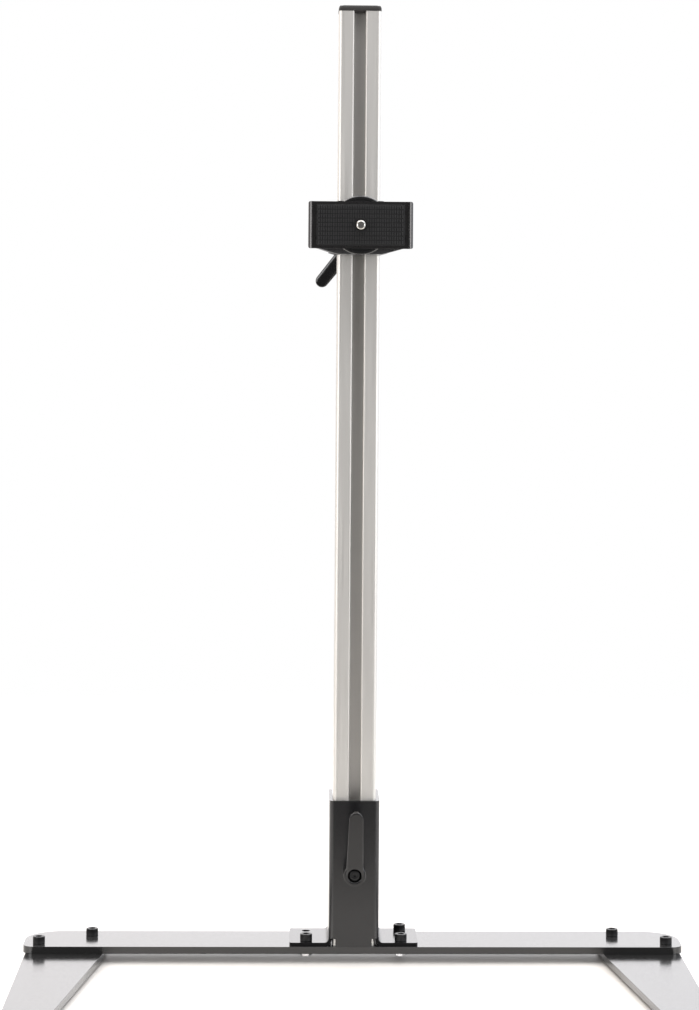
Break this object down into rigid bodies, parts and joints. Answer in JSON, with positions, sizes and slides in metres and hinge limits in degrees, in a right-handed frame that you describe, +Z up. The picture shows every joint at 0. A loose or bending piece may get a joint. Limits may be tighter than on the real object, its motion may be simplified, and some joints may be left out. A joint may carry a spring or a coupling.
{
  "type": "camera copy stand",
  "caption": "Copy stand: flat legs and crossbar, a clamped square slotted column, and a sliding carriage with a rubber-faced camera plate, thumbwheel and lever clamps.",
  "frame": {"origin": "on the floor, at the middle of the stand's bounding box, close to the foot of the lens axis", "axes": "+X to the right seen from the front, +Y to the back, where the column stands, +Z up along the column"},
  "size_m": [0.466, 0.35, 0.6763],
  "materials": {
    "bar_coated": "flat bar, smooth black satin coat that mirrors softly at a low angle",
    "column_aluminium": "extrusion, satin anodised",
    "black_screw": "black oxide steel socket screws",
    "pad_rubber": "dark moulded rubber",
    "black_sheet": "folded or machined metal, black satin powder coat",
    "black_casting": "die casting, black semi-gloss coat",
    "plated_steel": "plated steel",
    "bright_steel": "bright plated steel",
    "cap_plastic": "dark grey moulded plastic",
    "glide_plastic": "natural white sliding plastic",
    "shoe_brass": "turned brass",
    "wheel_plastic": "black moulded plastic"
  },
  "bodies": {
    "base": {"crossbar": "bar_coated", "left_leg": "bar_coated", "right_leg": "bar_coated", "leg_screws": "black_screw", "foot_pads": "pad_rubber", "column_bracket": "black_sheet", "bracket_screws": "black_screw", "bracket_nuts": "plated_steel", "slot_nut": "plated_steel"},
    "column": {"column": "column_aluminium", "top_cap": "cap_plastic"},
    "column_lever": {"column_lever_stud": "plated_steel", "column_lever_screw": "plated_steel", "column_lever_spring": "plated_steel"},
    "column_handle": {"column_lever_handle": "black_casting"},
    "carriage": {"carriage_body": "black_casting", "glide_strips": "glide_plastic", "clamp_shoe": "shoe_brass", "camera_plate": "black_sheet", "plate_screws": "black_screw", "plate_rubber": "pad_rubber", "wheel_washer": "glide_plastic"},
    "carriage_lever": {"carriage_lever_stud": "plated_steel", "carriage_lever_screw": "plated_steel", "carriage_lever_spring": "plated_steel"},
    "carriage_handle": {"carriage_lever_handle": "black_casting"},
    "camera_wheel": {"camera_screw": "bright_steel", "thumbwheel": "wheel_plastic"}
  },
  "joints": [
    {"name": "column_lift", "type": "slide", "parent": "base", "child": "column", "axis": [0, 0, 1], "range_m": [0, 0.11]},
    {"name": "carriage_slide", "type": "slide", "parent": "column", "child": "carriage", "axis": [0, 0, 1], "range_m": [-0.384, 0.134]},
    {"name": "column_lever_turn", "type": "hinge", "parent": "base", "child": "column_lever", "pos_m": [0, 0.1051, 0.0664], "axis": [0, -1, 0], "continuous": true},
    {"name": "column_lever_lift", "type": "slide", "parent": "column_lever", "child": "column_handle", "axis": [0, -1, 0], "range_m": [0, 0.0034], "stiffness_N_per_m": 700, "springref_m": -0.003, "deforming": ["column_lever_spring"]},
    {"name": "carriage_lever_turn", "type": "hinge", "parent": "carriage", "child": "carriage_lever", "pos_m": [0, 0.148, 0.513], "axis": [0, 1, 0], "continuous": true},
    {"name": "carriage_lever_lift", "type": "slide", "parent": "carriage_lever", "child": "carriage_handle", "axis": [0, 1, 0], "range_m": [0, 0.0034], "stiffness_N_per_m": 700, "springref_m": -0.003, "deforming": ["carriage_lever_spring"]},
    {"name": "camera_screw_turn", "type": "hinge", "parent": "carriage", "child": "camera_wheel", "pos_m": [0, 0.0468, 0.5194], "axis": [0, -1, 0], "continuous": true}
  ]
}
